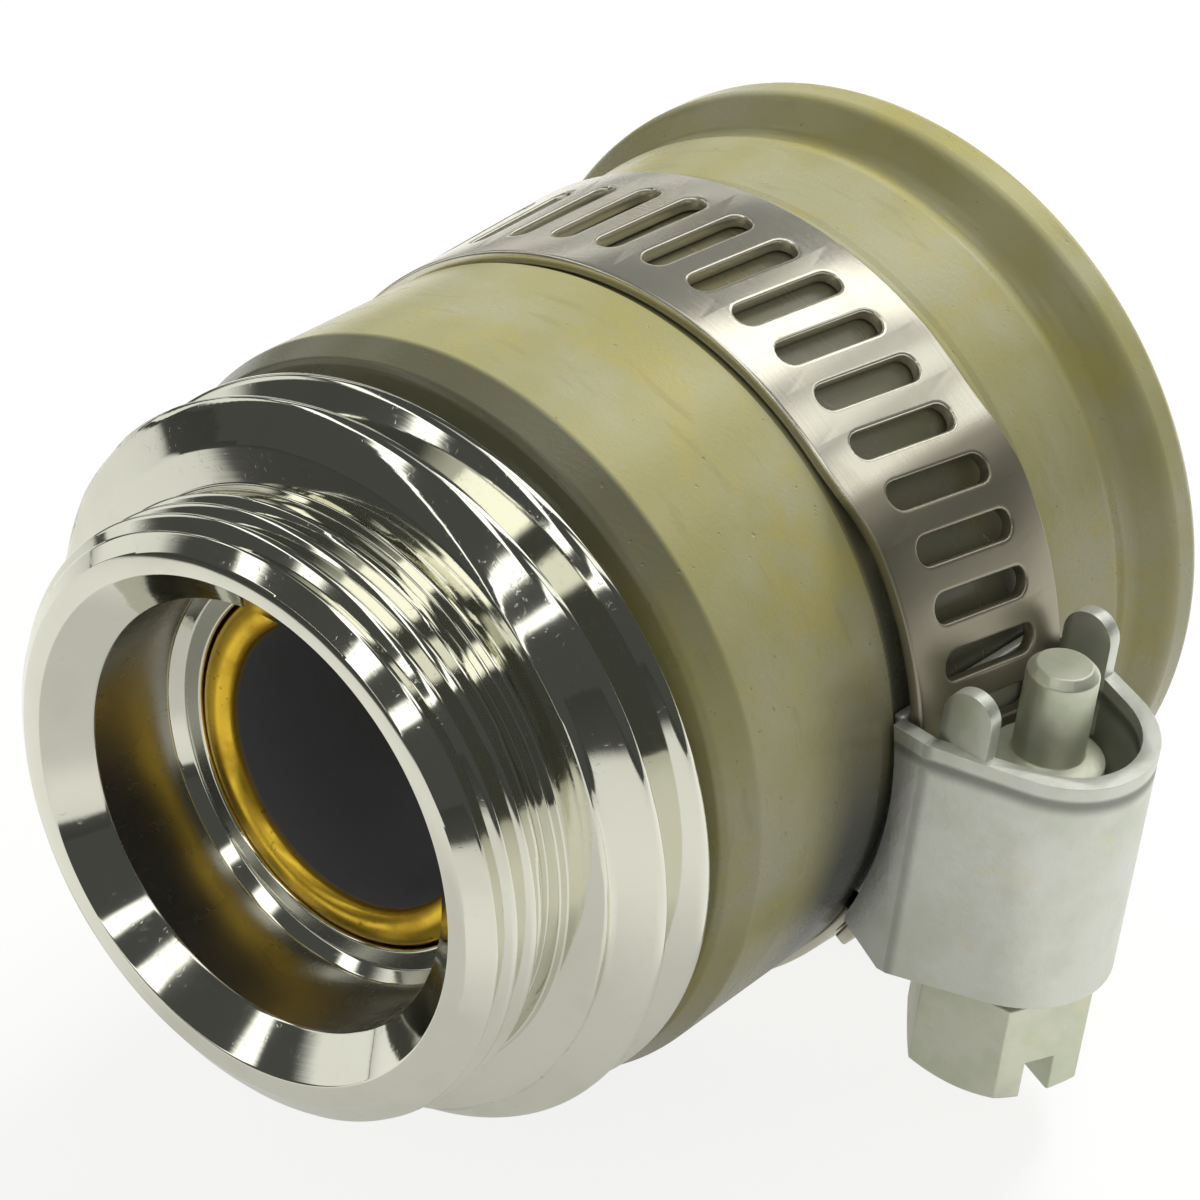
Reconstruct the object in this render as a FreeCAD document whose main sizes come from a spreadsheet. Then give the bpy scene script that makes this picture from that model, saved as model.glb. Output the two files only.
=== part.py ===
import FreeCAD, Part
import math
import os
import Sketcher

# Slip-on garden hose adapter, lying on its side.
# Millimetres. The axis of the fitting is the Y axis, the outlet face of the nose is at Y = 0
# and faces -Y, the rubber mouth faces +Y. +Z is up and the clamp screw is on the +X side.

SIZES = {
    # Chromed nose: outlet mouth
    "rim_inner_r": 9.24,
    "rim_outer_r": 9.97,
    "mouth_chamfer_y": 1.28,
    "bore_r": 7.86,
    "bore_end_y": 4.85,
    "bore_end_r": 7.86,
    "ledge_y": 5.25,
    "ledge_outer_r": 7.45,
    "seat_r": 6.72,
    "seat_y": 6.45,
    "passage_r": 6.02,
    # Fine outer thread, 55/64 inch, 27 per inch
    "fine_crest_r": 10.91,
    "fine_root_r": 10.33,
    "fine_pitch": 0.941,
    "fine_lead_y": 0.72,
    "fine_end_y": 3.0,
    "fine_top_r": 10.97,
    "fine_g_y0": -1.354,
    "fine_g_y1": -0.985,
    "fine_g_y2": -0.867,
    "fine_g_y3": -0.498,
    "fine_g_height": 4.2,
    "neck_r": 10.25,
    "neck_start_y": 3.1,
    "neck_end_y": 3.75,
    "neck_band_r": 10.75,
    "shoulder_foot_y": 4.15,
    "shoulder_y": 4.45,
    "shoulder_r": 12.0,
    # Coarse outer thread, 3/4 inch garden hose, 11.5 per inch
    "hose_crest_r": 13.49,
    "hose_root_r": 12.05,
    "hose_pitch": 2.209,
    "hose_lead_y": 5.0,
    "hose_end_y": 8.9,
    "hose_top_r": 13.64,
    "hose_g_y0": 1.373,
    "hose_g_y1": 2.2905,
    "hose_g_y2": 2.5655,
    "hose_g_y3": 3.483,
    "hose_g_height": 7.9,
    # Barbed tail behind the threads
    "tail_r": 8.6,
    "barb_r": 9.2,
    "barb_front_y": 14.0,
    "barb_back_y": 15.3,
    "tail_end_y": 16.4,
    # Brass ferrule with a rounded lip
    "ferrule_bore_r": 5.3,
    "ferrule_outer_r": 5.97,
    "lip_outer_r": 6.66,
    "lip_front_y": 5.08,
    "lip_shoulder_y": 5.6,
    "lip_mid_r": 5.98,
    "lip_back_y": 6.4,
    "ferrule_collar_y": 16.5,
    "ferrule_collar_r": 8.3,
    "ferrule_end_y": 17.3,
    # Rubber sleeve
    "sleeve_front_y": 8.94,
    "sleeve_front_edge_r": 13.2,
    "sleeve_lip_r": 13.42,
    "sleeve_lip_y": 9.12,
    "sleeve_front_r": 13.86,
    "sleeve_front_edge_y": 10.3,
    "seat_front_y": 17.8,
    "seat_front_in_y": 18.0,
    "seat_front_r": 13.57,
    "seat_back_r": 14.02,
    "seat_back_in_y": 27.0,
    "seat_back_y": 27.3,
    "sleeve_mid_r": 14.08,
    "sleeve_rear_y": 30.9,
    "sleeve_rear_r": 14.4,
    "groove_y": 31.7,
    "groove_r": 14.15,
    "flange_foot_y": 32.2,
    "flange_foot_r": 14.35,
    "flange_front_y": 33.1,
    "flange_r": 15.45,
    "flange_rim_back_y": 34.5,
    "flange_back_r": 14.95,
    "sleeve_end_y": 35.0,
    "mouth_r": 10.3,
    "mouth_in_y": 34.2,
    "inlet_r": 9.5,
    "inlet_front_y": 17.4,
    "socket_r": 8.66,
    "socket_step_y": 16.5,
    "barb_socket_r": 9.26,
    "barb_socket_front_y": 13.9,
    "barb_socket_back_y": 15.4,
    # Clamp strip
    "strip_width": 7.94,
    "strip_y": 22.2,
    "strip_in_r": 13.85,
    "strip_out_r": 14.35,
    "strip_cone": 0.2,
    "lap_in_r": 14.4,
    "lap_out_r": 14.9,
    "strip_clock": 31.636,
    "strip_start_turn": 89.864,
    "strip_ramp_turn": 373.364,
    "strip_lap_turn": 390.364,
    "strip_end_turn": 455.364,
    "slot_length": 4.95,
    "slot_width": 1.05,
    "slot_slant": 8.0,
    "slot_count": 22,
    "slot_step": 8.18182,
    "slot_reach": 2.4,
    # Clamp saddle and housing
    "clamp_clock": 7.5,
    "saddle_in_r": 13.85,
    "saddle_out_r": 14.3,
    "saddle_width": 8.3,
    "screw_x": 17.15,
    "housing_top_z": 5.0,
    "housing_bottom_z": -6.7,
    "housing_foot_x": 13.1,
    "housing_hip_x": 15.1,
    "housing_half_out": 4.75,
    "housing_half_in": 4.15,
    "crown_in_r": 3.1,
    "crown_out_r": 3.75,
    "end_wall": 0.5,
    "neck_hole_r": 2.15,
    "sleeve_clear_r": 14.1,
    "strip_clear_r": 15.2,
    "strip_clear_width": 8.3,
    "ear_in_x": 15.05,
    "ear_out_x": 17.0,
    "ear_foot_z": 0.6,
    "ear_top_z": 5.25,
    "ear_thickness": 0.6,
    "ear_inset": 0.2,
    # Clamp screw
    "worm_crest_r": 2.6,
    "worm_root_r": 2.05,
    "worm_top_z": 1.5,
    "worm_pitch": 2.11,
    "worm_start_z": -5.168,
    "worm_turns": 2.9,
    "worm_foot_width": 1.0,
    "worm_crest_width": 0.45,
    "tip_r": 1.28,
    "tip_top_z": 5.3,
    "tip_chamfer": 0.3,
    "head_top_z": -7.15,
    "head_height": 4.25,
    "head_flats": 6.0,
    "head_clock": -54.0,
    "head_slot_width": 1.2,
    "head_slot_depth": 1.6,
}

MODEL = FreeCAD.newDocument("hose_adapter")


def make_sheet():
    """Write every driving size to the spreadsheet and give each cell its alias."""
    sheet = MODEL.addObject("Spreadsheet::Sheet", "dims")
    for row, (alias, value) in enumerate(SIZES.items(), start=1):
        sheet.set(f"A{row}", alias)
        sheet.set(f"B{row}", str(value))
        sheet.setAlias(f"B{row}", alias)
    MODEL.recompute()


def bind(item, field, alias):
    """Drive one field of an object from the spreadsheet."""
    item.setExpression(field, f"dims.{alias}")


def plane_of(body, role):
    """Return one of the origin planes or axes of a body."""
    for feature in body.Origin.OriginFeatures:
        if feature.Role == role:
            return feature
    raise ValueError(role)


def new_body(label):
    """Add an empty body whose label is the name of the sub-part."""
    body = MODEL.addObject("PartDesign::Body", label)
    body.Label = label
    return body


def new_sketch(body, name, role, offset=None):
    """Add a sketch on an origin plane of the body, moved along its normal by a sheet size."""
    sketch = body.newObject("Sketcher::SketchObject", name)
    sketch.AttachmentSupport = [(plane_of(body, role), "")]
    sketch.MapMode = "FlatFace"
    if offset is not None:
        sketch.setExpression("AttachmentOffset.Base.z", offset)
    MODEL.recompute()
    return sketch


def polygon(sketch, corners):
    """Draw a closed outline whose corners are pairs of sheet aliases, and bind each corner."""
    points = [FreeCAD.Vector(SIZES[a], SIZES[b] if b else 0, 0) for a, b in corners]
    count = len(points)
    for index in range(count):
        sketch.addGeometry(Part.LineSegment(points[index], points[(index + 1) % count]), False)
    for index in range(count):
        joint = ("Coincident", index, 2, (index + 1) % count, 1)
        sketch.addConstraint(Sketcher.Constraint(*joint))
    for index, (across, along) in enumerate(corners):
        size = SIZES[across]
        row = sketch.addConstraint(Sketcher.Constraint("DistanceX", -1, 1, index, 1, size))
        bind(sketch, f"Constraints[{row}]", across)
        if along is None:
            sketch.addConstraint(Sketcher.Constraint("PointOnObject", index, 1, -1))
            continue
        size = SIZES[along]
        row = sketch.addConstraint(Sketcher.Constraint("DistanceY", -1, 1, index, 1, size))
        bind(sketch, f"Constraints[{row}]", along)
    MODEL.recompute()
    return sketch


def outline(sketch, corners):
    """Draw a closed outline through plain X and Y pairs."""
    points = [FreeCAD.Vector(across, along, 0) for across, along in corners]
    for index, point in enumerate(points):
        sketch.addGeometry(Part.LineSegment(point, points[(index + 1) % len(points)]), False)
    MODEL.recompute()


def turned(body, name, corners):
    """Revolve an outline of radius and Y pairs about the Y axis."""
    sketch = polygon(new_sketch(body, name + "_outline", "XY_Plane"), corners)
    turn = body.newObject("PartDesign::Revolution", name)
    turn.Profile = sketch
    turn.ReferenceAxis = (sketch, ["V_Axis"])
    turn.Angle = 360.0
    body.Tip = turn
    MODEL.recompute()
    return turn


def thread_groove(body, name, corners, pitch, height):
    """Cut a right-hand helical groove about the Y axis."""
    sketch = polygon(new_sketch(body, name + "_outline", "XY_Plane"), corners)
    groove = body.newObject("PartDesign::SubtractiveHelix", name)
    groove.Profile = sketch
    groove.ReferenceAxis = (sketch, ["V_Axis"])
    groove.Mode = 0
    bind(groove, "Pitch", pitch)
    bind(groove, "Height", height)
    groove.Angle = 0.0
    groove.Growth = 0.0
    body.Tip = groove
    MODEL.recompute()
    return groove


def turned_by(body, alias):
    """Turn a finished body about the Y axis by an angle from the sheet."""
    rotation = FreeCAD.Rotation(FreeCAD.Vector(0, 1, 0), SIZES[alias])
    body.Placement = FreeCAD.Placement(FreeCAD.Vector(), rotation)
    body.setExpression("Placement.Rotation.Angle", f"dims.{alias}")
    MODEL.recompute()


def at(angle, radius):
    """Point at an angle in degrees from +Z towards +X, in the sketch plane of X and Z."""
    turn = math.radians(angle)
    return FreeCAD.Vector(radius * math.sin(turn), radius * math.cos(turn), 0)


def arc(sketch, start, middle, end):
    """Add the arc through three points to a sketch."""
    sketch.addGeometry(Part.Arc(start, middle, end), False)


def make_nose():
    """Chromed brass nose with a fine and a coarse outer thread and a barbed tail."""
    body = new_body("threaded_nose")
    turned(body, "nose_front", [
        ("rim_inner_r", None),
        ("rim_outer_r", None),
        ("fine_crest_r", "fine_lead_y"),
        ("fine_crest_r", "fine_end_y"),
        ("neck_r", "neck_start_y"),
        ("neck_r", "neck_end_y"),
        ("neck_band_r", "neck_end_y"),
        ("neck_band_r", "shoulder_foot_y"),
        ("shoulder_r", "shoulder_y"),
        ("hose_crest_r", "hose_lead_y"),
        ("hose_crest_r", "hose_end_y"),
        ("tail_r", "hose_end_y"),
        ("passage_r", "hose_end_y"),
        ("passage_r", "seat_y"),
        ("seat_r", "seat_y"),
        ("seat_r", "ledge_y"),
        ("ledge_outer_r", "ledge_y"),
        ("bore_end_r", "bore_end_y"),
        ("bore_r", "mouth_chamfer_y"),
    ])
    thread_groove(body, "hose_thread", [
        ("hose_top_r", "hose_g_y0"),
        ("hose_root_r", "hose_g_y1"),
        ("hose_root_r", "hose_g_y2"),
        ("hose_top_r", "hose_g_y3"),
    ], "hose_pitch", "hose_g_height")
    thread_groove(body, "fine_thread", [
        ("fine_top_r", "fine_g_y0"),
        ("fine_root_r", "fine_g_y1"),
        ("fine_root_r", "fine_g_y2"),
        ("fine_top_r", "fine_g_y3"),
    ], "fine_pitch", "fine_g_height")
    turned(body, "nose_tail", [
        ("passage_r", "hose_end_y"),
        ("tail_r", "hose_end_y"),
        ("tail_r", "barb_front_y"),
        ("barb_r", "barb_front_y"),
        ("tail_r", "barb_back_y"),
        ("tail_r", "tail_end_y"),
        ("passage_r", "tail_end_y"),
    ])
    return body


def make_ferrule():
    """Brass ferrule whose rounded lip is the gold ring in the outlet."""
    body = new_body("brass_ferrule")
    turned(body, "ferrule_tube", [
        ("ferrule_bore_r", "lip_shoulder_y"),
        ("lip_mid_r", "lip_front_y"),
        ("lip_outer_r", "lip_shoulder_y"),
        ("lip_outer_r", "lip_back_y"),
        ("ferrule_outer_r", "lip_back_y"),
        ("ferrule_outer_r", "ferrule_collar_y"),
        ("ferrule_collar_r", "ferrule_collar_y"),
        ("ferrule_collar_r", "ferrule_end_y"),
        ("ferrule_bore_r", "ferrule_end_y"),
    ])
    return body


def make_sleeve():
    """Moulded rubber sleeve with a flanged mouth that slips over a plain spout."""
    body = new_body("rubber_sleeve")
    turned(body, "sleeve_wall", [
        ("socket_r", "sleeve_front_y"),
        ("sleeve_front_edge_r", "sleeve_front_y"),
        ("sleeve_lip_r", "sleeve_lip_y"),
        ("sleeve_front_r", "sleeve_front_edge_y"),
        ("sleeve_front_r", "seat_front_y"),
        ("seat_front_r", "seat_front_in_y"),
        ("seat_back_r", "seat_back_in_y"),
        ("sleeve_mid_r", "seat_back_y"),
        ("sleeve_rear_r", "sleeve_rear_y"),
        ("groove_r", "groove_y"),
        ("flange_foot_r", "flange_foot_y"),
        ("flange_r", "flange_front_y"),
        ("flange_r", "flange_rim_back_y"),
        ("flange_back_r", "sleeve_end_y"),
        ("mouth_r", "sleeve_end_y"),
        ("inlet_r", "mouth_in_y"),
        ("inlet_r", "inlet_front_y"),
        ("socket_r", "socket_step_y"),
        ("socket_r", "barb_socket_back_y"),
        ("barb_socket_r", "barb_socket_back_y"),
        ("barb_socket_r", "barb_socket_front_y"),
        ("socket_r", "barb_socket_front_y"),
    ])
    return body


def strip_outline(sketch, grow):
    """Draw the strip seen along the axis: a plain start, one turn, a ramp and a lapping tail."""
    start = SIZES["strip_start_turn"]
    ramp = SIZES["strip_ramp_turn"]
    lap = SIZES["strip_lap_turn"]
    end = SIZES["strip_end_turn"]
    inner = SIZES["strip_in_r"] + grow
    outer = SIZES["strip_out_r"] + grow
    lap_in = SIZES["lap_in_r"] + grow
    lap_out = SIZES["lap_out_r"] + grow
    middle = (ramp + lap) / 2
    arc(sketch, at(start, inner), at((start + ramp) / 2, inner), at(ramp, inner))
    arc(sketch, at(ramp, inner), at(middle, (inner + lap_in) / 2), at(lap, lap_in))
    arc(sketch, at(lap, lap_in), at((lap + end) / 2, lap_in), at(end, lap_in))
    sketch.addGeometry(Part.LineSegment(at(end, lap_in), at(end, lap_out)), False)
    arc(sketch, at(end, lap_out), at((lap + end) / 2, lap_out), at(lap, lap_out))
    arc(sketch, at(lap, lap_out), at(middle, (outer + lap_out) / 2), at(ramp, outer))
    arc(sketch, at(ramp, outer), at((start + ramp) / 2, outer), at(start, outer))
    sketch.addGeometry(Part.LineSegment(at(start, outer), at(start, inner)), False)
    MODEL.recompute()


def make_band():
    """Slotted stainless strip in one loop, its slotted tail lapping over its plain start."""
    body = new_body("clamp_band")
    front = new_sketch(body, "strip_front", "XZ_Plane", "-dims.strip_y + dims.strip_width / 2")
    strip_outline(front, -SIZES["strip_cone"])
    back = new_sketch(body, "strip_back", "XZ_Plane", "-dims.strip_y - dims.strip_width / 2")
    strip_outline(back, SIZES["strip_cone"])
    strip = body.newObject("PartDesign::AdditiveLoft", "strip")
    strip.Profile = front
    strip.Sections = [back]
    strip.Ruled = True
    MODEL.recompute()

    cut = new_sketch(body, "slot_outline", "YZ_Plane", "dims.strip_in_r - 0.6")
    tilt = math.radians(SIZES["slot_slant"])
    half = SIZES["slot_width"] / 2
    reach = SIZES["slot_length"] / 2 - half
    run = FreeCAD.Vector(math.cos(tilt), -math.sin(tilt), 0)
    side = FreeCAD.Vector(math.sin(tilt), math.cos(tilt), 0)
    centre = FreeCAD.Vector(SIZES["strip_y"], 0, 0)
    far, near = centre + run * reach, centre - run * reach
    cut.addGeometry(Part.LineSegment(near + side * half, far + side * half), False)
    arc(cut, far + side * half, far + run * half, far - side * half)
    cut.addGeometry(Part.LineSegment(far - side * half, near - side * half), False)
    arc(cut, near - side * half, near - run * half, near + side * half)
    MODEL.recompute()
    slot = body.newObject("PartDesign::Pocket", "slot")
    slot.Profile = cut
    bind(slot, "Length", "slot_reach")
    slot.Reversed = True
    MODEL.recompute()
    row = body.newObject("PartDesign::PolarPattern", "slot_row")
    row.Originals = [slot]
    row.Axis = (plane_of(body, "Y_Axis"), [""])
    row.Reversed = True
    bind(row, "Occurrences", "slot_count")
    row.setExpression("Angle", "dims.slot_step * (dims.slot_count - 1)")
    body.Tip = row
    turned_by(body, "strip_clock")
    return body


def sector(sketch, inner, outer, first, last):
    """Draw a ring sector between two angles in the plane of X and Z."""
    middle = (first + last) / 2
    arc(sketch, at(first, outer), at(middle, outer), at(last, outer))
    sketch.addGeometry(Part.LineSegment(at(last, outer), at(last, inner)), False)
    arc(sketch, at(last, inner), at(middle, inner), at(first, inner))
    sketch.addGeometry(Part.LineSegment(at(first, inner), at(first, outer)), False)
    MODEL.recompute()


def make_saddle():
    """Curved plate between the sleeve and the strip, held between the feet of the housing."""
    body = new_body("clamp_saddle")
    inner, outer = SIZES["saddle_in_r"], SIZES["saddle_out_r"]
    cone = SIZES["strip_cone"]
    front = new_sketch(body, "plate_front", "XZ_Plane", "-dims.strip_y + dims.saddle_width / 2")
    sector(front, inner - cone, outer - cone, 76.5, 109.5)
    back = new_sketch(body, "plate_back", "XZ_Plane", "-dims.strip_y - dims.saddle_width / 2")
    sector(back, inner + cone, outer + cone, 76.5, 109.5)
    plate = body.newObject("PartDesign::AdditiveLoft", "saddle_plate")
    plate.Profile = front
    plate.Sections = [back]
    plate.Ruled = True
    body.Tip = plate
    turned_by(body, "clamp_clock")
    return body


def arch(sketch, crown, half_width, foot, hip):
    """Draw an arch over the screw: straight feet, leaning sides and a round crown."""
    x, y = SIZES["screw_x"], SIZES["strip_y"]
    reach = math.hypot(x - hip, half_width)
    lean = math.atan2(half_width, hip - x)
    touch = lean - math.acos(crown / reach)
    right = FreeCAD.Vector(x + crown * math.cos(touch), y + crown * math.sin(touch), 0)
    left = FreeCAD.Vector(right.x, 2 * y - right.y, 0)
    corners = [
        left,
        FreeCAD.Vector(hip, y - half_width, 0),
        FreeCAD.Vector(foot, y - half_width, 0),
        FreeCAD.Vector(foot, y + half_width, 0),
        FreeCAD.Vector(hip, y + half_width, 0),
        right,
    ]
    for first, second in zip(corners, corners[1:]):
        sketch.addGeometry(Part.LineSegment(first, second), False)
    arc(sketch, right, FreeCAD.Vector(x + crown, y, 0), left)
    MODEL.recompute()


def round_cut(body, name, radius, width):
    """Cut a round clearance about the fitting's axis, as wide along Y as stated."""
    sketch = new_sketch(body, name + "_outline", "XZ_Plane", "-dims.strip_y")
    sketch.addGeometry(Part.Circle(FreeCAD.Vector(), FreeCAD.Vector(0, 0, 1), SIZES[radius]), False)
    row = sketch.addConstraint(Sketcher.Constraint("Radius", 0, SIZES[radius]))
    bind(sketch, f"Constraints[{row}]", radius)
    MODEL.recompute()
    cut = body.newObject("PartDesign::Pocket", name)
    cut.Profile = sketch
    cut.Midplane = True
    if width is None:
        cut.Length = 60.0
    else:
        bind(cut, "Length", width)
    MODEL.recompute()


def ear(body, name, place):
    """Add one rounded ear that stands out of the open end of the housing."""
    sketch = new_sketch(body, name + "_outline", "XZ_Plane", place)
    inner, outer = SIZES["ear_in_x"], SIZES["ear_out_x"]
    foot, top = SIZES["ear_foot_z"], SIZES["ear_top_z"]
    middle, shoulder = (inner + outer) / 2, top - (outer - inner) / 2
    sketch.addGeometry(Part.LineSegment(FreeCAD.Vector(inner, shoulder, 0), FreeCAD.Vector(inner, foot, 0)), False)
    sketch.addGeometry(Part.LineSegment(FreeCAD.Vector(inner, foot, 0), FreeCAD.Vector(outer, foot, 0)), False)
    sketch.addGeometry(Part.LineSegment(FreeCAD.Vector(outer, foot, 0), FreeCAD.Vector(outer, shoulder, 0)), False)
    arc(sketch, FreeCAD.Vector(outer, shoulder, 0), FreeCAD.Vector(middle, top, 0), FreeCAD.Vector(inner, shoulder, 0))
    MODEL.recompute()
    pad = body.newObject("PartDesign::Pad", name)
    pad.Profile = sketch
    bind(pad, "Length", "ear_thickness")
    MODEL.recompute()


def make_housing():
    """Zinc plated cover over the worm, open at the tip end and walled at the head end."""
    body = new_body("clamp_housing")
    x, y = SIZES["screw_x"], SIZES["strip_y"]
    foot, hip = SIZES["housing_foot_x"], SIZES["housing_hip_x"]
    outside = new_sketch(body, "cover_outline", "XY_Plane", "dims.housing_bottom_z")
    arch(outside, SIZES["crown_out_r"], SIZES["housing_half_out"], foot, hip)
    pad = body.newObject("PartDesign::Pad", "cover")
    pad.Profile = outside
    pad.setExpression("Length", "dims.housing_top_z - dims.housing_bottom_z")
    MODEL.recompute()
    inside = new_sketch(body, "hollow_outline", "XY_Plane", "dims.housing_bottom_z + dims.end_wall")
    arch(inside, SIZES["crown_in_r"], SIZES["housing_half_in"], foot - 1, hip)
    hollow = body.newObject("PartDesign::Pocket", "hollow")
    hollow.Profile = inside
    hollow.Length = 30.0
    hollow.Reversed = True
    MODEL.recompute()

    slant = new_sketch(body, "open_end_outline", "XZ_Plane")
    outline(slant, [(x - 6.0, 3.45), (x + 5.0, 2.6), (x + 5.0, 9.0), (x - 6.0, 9.0)])
    end = body.newObject("PartDesign::Pocket", "open_end")
    end.Profile = slant
    end.Length = 80.0
    end.Midplane = True
    MODEL.recompute()
    corner = new_sketch(body, "foot_corner_outline", "XZ_Plane")
    outline(corner, [(foot - 0.6, -5.1), (foot + 1.9, -6.9), (foot - 0.6, -6.9)])
    trim = body.newObject("PartDesign::Pocket", "foot_corner")
    trim.Profile = corner
    trim.Length = 80.0
    trim.Midplane = True
    MODEL.recompute()
    ear(body, "near_ear", "dims.housing_half_in - dims.strip_y - dims.ear_thickness - dims.ear_inset")
    ear(body, "far_ear", "-dims.housing_half_in - dims.strip_y + dims.ear_inset")

    hole = new_sketch(body, "neck_outline", "XY_Plane", "dims.housing_bottom_z - 1")
    hole.addGeometry(Part.Circle(FreeCAD.Vector(x, y, 0), FreeCAD.Vector(0, 0, 1), SIZES["neck_hole_r"]), False)
    row = hole.addConstraint(Sketcher.Constraint("Radius", 0, SIZES["neck_hole_r"]))
    bind(hole, f"Constraints[{row}]", "neck_hole_r")
    MODEL.recompute()
    neck = body.newObject("PartDesign::Pocket", "neck_hole")
    neck.Profile = hole
    neck.Length = 2.0
    neck.Reversed = True
    MODEL.recompute()
    round_cut(body, "sleeve_clearance", "sleeve_clear_r", None)
    round_cut(body, "strip_clearance", "strip_clear_r", "strip_clear_width")
    body.Tip = body.Group[-1]
    turned_by(body, "clamp_clock")
    return body


def make_screw():
    """Worm screw with a slotted hexagon head and a short plain tip."""
    body = new_body("clamp_screw")
    axis = new_sketch(body, "screw_axis", "XZ_Plane", "-dims.strip_y")
    x, y = SIZES["screw_x"], SIZES["strip_y"]
    axis.addGeometry(Part.LineSegment(FreeCAD.Vector(x, -14, 0), FreeCAD.Vector(x, 6, 0)), True)
    rows = [
        (0, SIZES["tip_top_z"]),
        (SIZES["tip_r"] - SIZES["tip_chamfer"], SIZES["tip_top_z"]),
        (SIZES["tip_r"], SIZES["tip_top_z"] - SIZES["tip_chamfer"]),
        (SIZES["tip_r"], SIZES["worm_top_z"] + 0.3),
        (SIZES["worm_root_r"], SIZES["worm_top_z"]),
        (SIZES["worm_root_r"], SIZES["head_top_z"]),
        (0, SIZES["head_top_z"]),
    ]
    points = [FreeCAD.Vector(x + radius, height, 0) for radius, height in rows]
    for index, point in enumerate(points):
        axis.addGeometry(Part.LineSegment(point, points[(index + 1) % len(points)]), False)
    MODEL.recompute()
    core = body.newObject("PartDesign::Revolution", "screw_core")
    core.Profile = axis
    core.ReferenceAxis = (axis, ["Axis0"])
    core.Angle = 360.0
    MODEL.recompute()

    ridge = new_sketch(body, "worm_outline", "XZ_Plane", "-dims.strip_y")
    ridge.addGeometry(Part.LineSegment(FreeCAD.Vector(x, -14, 0), FreeCAD.Vector(x, 6, 0)), True)
    low, foot, tip = SIZES["worm_start_z"], SIZES["worm_foot_width"] / 2, SIZES["worm_crest_width"] / 2
    inner, outer = x + SIZES["worm_root_r"] - 0.1, x + SIZES["worm_crest_r"]
    outline(ridge, [(inner, low - foot), (outer, low - tip), (outer, low + tip), (inner, low + foot)])
    worm = body.newObject("PartDesign::AdditiveHelix", "worm")
    worm.Profile = ridge
    worm.ReferenceAxis = (ridge, ["Axis0"])
    worm.Mode = 0
    bind(worm, "Pitch", "worm_pitch")
    worm.setExpression("Height", "dims.worm_turns * dims.worm_pitch")
    worm.Angle = 0.0
    worm.Growth = 0.0
    MODEL.recompute()

    hexagon = new_sketch(body, "head_outline", "XY_Plane", "dims.head_top_z - dims.head_height")
    corner = SIZES["head_flats"] / math.sqrt(3)
    turns = [math.radians(SIZES["head_clock"] + 60 * step) for step in range(6)]
    outline(hexagon, [(x + corner * math.cos(turn), y + corner * math.sin(turn)) for turn in turns])
    head = body.newObject("PartDesign::Pad", "head")
    head.Profile = hexagon
    bind(head, "Length", "head_height")
    MODEL.recompute()

    bevel = new_sketch(body, "bevel_outline", "XZ_Plane", "-dims.strip_y")
    bevel.addGeometry(Part.LineSegment(FreeCAD.Vector(x, -14, 0), FreeCAD.Vector(x, 6, 0)), True)
    end = SIZES["head_top_z"] - SIZES["head_height"]
    outline(bevel, [(x + 2.75, end - 0.1), (x + 4.2, end - 0.1), (x + 4.2, end + 0.75)])
    groove = body.newObject("PartDesign::Groove", "head_bevel")
    groove.Profile = bevel
    groove.ReferenceAxis = (bevel, ["Axis0"])
    groove.Angle = 360.0
    MODEL.recompute()

    driver = new_sketch(body, "driver_outline", "XY_Plane", "dims.head_top_z - dims.head_height - 1")
    turn = math.radians(SIZES["head_clock"] + 30)
    along = FreeCAD.Vector(math.cos(turn), math.sin(turn), 0) * 5
    side = FreeCAD.Vector(-math.sin(turn), math.cos(turn), 0) * (SIZES["head_slot_width"] / 2)
    centre = FreeCAD.Vector(x, y, 0)
    corners = [centre + along + side, centre - along + side, centre - along - side, centre + along - side]
    outline(driver, [(point.x, point.y) for point in corners])
    slot = body.newObject("PartDesign::Pocket", "driver_slot")
    slot.Profile = driver
    slot.setExpression("Length", "1 + dims.head_slot_depth")
    slot.Reversed = True
    body.Tip = slot
    turned_by(body, "clamp_clock")
    return body


make_sheet()
BODIES = [make_nose(), make_ferrule(), make_sleeve(), make_band(), make_saddle(), make_housing(), make_screw()]
MODEL.recompute()
os.makedirs("parts", exist_ok=True)
for item in MODEL.Objects:
    for word in ("Invalid", "Error"):
        if word in item.State:
            raise RuntimeError(f"{item.Label}: {item.State}")
for body in BODIES:
    shape = body.Shape
    if shape.isNull() or not shape.isValid():
        raise RuntimeError(body.Label)
    print(body.Label, round(shape.Volume, 2), shape.BoundBox, len(shape.Solids))
    shape.exportStep(f"parts/{body.Label}.step")
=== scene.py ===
"""Visual model of a slip-on garden hose adapter: chromed nose, rubber sleeve and worm-drive clamp.

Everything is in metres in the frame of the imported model. The axis of the fitting is +Y, the outlet
face of the nose is at Y = 0, +Z is up and the clamp screw is on the +X side. Angles about the axis
are measured from +Z towards +X. Sizes in the classes are millimetres.
"""

import logging
import math
from dataclasses import dataclass, field
from enum import Enum

import bmesh
import bpy
from mathutils import Matrix, Vector


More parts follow.
